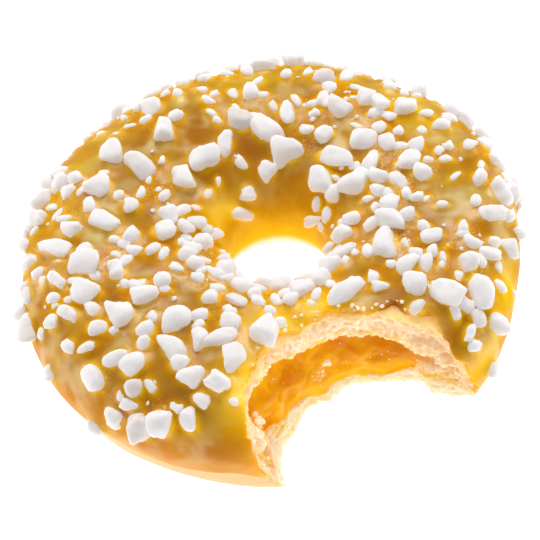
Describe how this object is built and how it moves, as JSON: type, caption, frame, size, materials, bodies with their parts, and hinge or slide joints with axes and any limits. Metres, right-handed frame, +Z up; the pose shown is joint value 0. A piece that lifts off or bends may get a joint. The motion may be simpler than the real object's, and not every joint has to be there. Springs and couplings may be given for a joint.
{
  "type": "lemon meringue doughnut",
  "caption": "Ring doughnut with a lemon filling and thin yellow icing set with small white meringue nibs; a bite at its edge shows the crumb and the filling.",
  "frame": {"origin": "on the surface that the doughnut lies on, under the middle of its bounding box, within half a millimetre or so of the ring's axis", "axes": "+Z up, out of the iced top, along the axis of the doughnut's hole; the bite is at -Y, a little towards +X"},
  "size_m": [0.092, 0.091, 0.0257],
  "materials": {
    "dough": "matt fried crust and pale torn crumb",
    "lemon_filling": "wet, glossy and a little translucent",
    "icing": "waxy, half gloss",
    "meringue": "matt and chalky"
  },
  "bodies": {
    "root": {"dough": "dough", "lemon_filling": "lemon_filling", "icing": "icing"}
  },
  "joints": []
}
